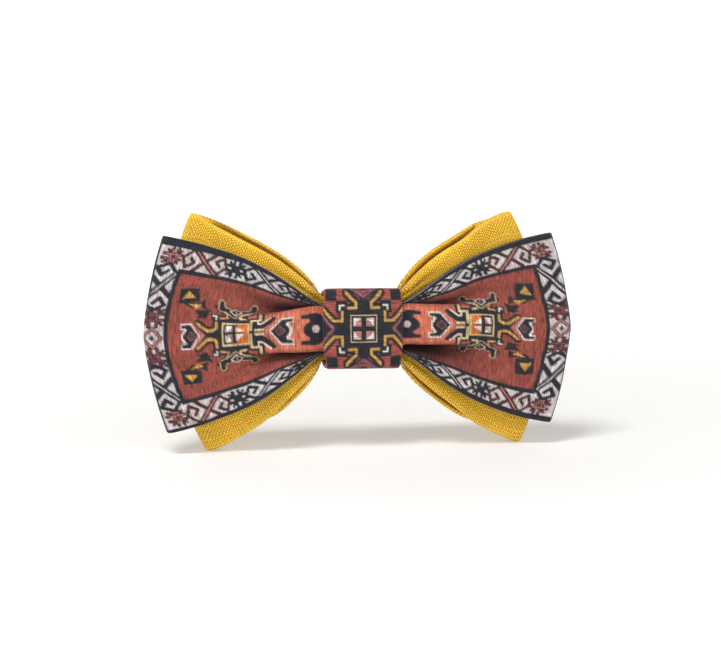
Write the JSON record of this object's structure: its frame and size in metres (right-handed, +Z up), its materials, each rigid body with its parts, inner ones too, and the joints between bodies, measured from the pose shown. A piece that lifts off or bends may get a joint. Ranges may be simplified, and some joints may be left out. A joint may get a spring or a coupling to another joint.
{
  "type": "bow tie",
  "caption": "Pre-tied double bow tie: printed cotton bow over a taller plain linen bow, bound by a wrapped knot on a folded adjustable neck band.",
  "frame": {"origin": "under the middle of the knot, at the height of the back bow's lower corners, half way through the depth with the band folded", "axes": "+X to the right as seen from the front, +Y from the knot's face towards the wearer's neck, +Z up"},
  "size_m": [0.1208, 0.0262, 0.0668],
  "materials": {
    "printed_cotton": "printed cotton in a plain weave, geometric carpet pattern on brick red",
    "mustard_linen": "mustard linen in a coarse plain weave",
    "interlining": "woven interlining",
    "sewing_thread": "polyester sewing thread",
    "nickel": "nickel-plated steel, satin"
  },
  "bodies": {
    "bow": {"front_bow_cover": "printed_cotton", "front_bow_interlining": "interlining", "front_bow_end_stitch": "sewing_thread", "back_bow_cover": "mustard_linen", "back_bow_interlining": "interlining", "back_bow_end_stitch": "sewing_thread", "waist_thread": "sewing_thread", "knot_cover": "printed_cotton", "knot_interlining": "interlining", "knot_seam_stitch": "sewing_thread"},
    "band": {"neck_band": "mustard_linen", "eye_hem_stitch": "sewing_thread", "strap_end_stitch": "sewing_thread"},
    "hook": {"slide_hook": "nickel"},
    "eye": {"band_eye": "nickel"}
  },
  "joints": [
    {"name": "band_through_knot", "type": "slide", "parent": "bow", "child": "band", "axis": [1, 0, 0], "range_m": [-0.03, 0.03]},
    {"name": "hook_along_strap", "type": "slide", "parent": "band", "child": "hook", "axis": [1, 0, 0], "range_m": [-0.011, 0.01]},
    {"name": "eye_swing", "type": "hinge", "parent": "band", "child": "eye", "pos_m": [-0.02, 0.0102, 0.0334], "axis": [0, 0, 1], "range_deg": [0, 120]}
  ]
}
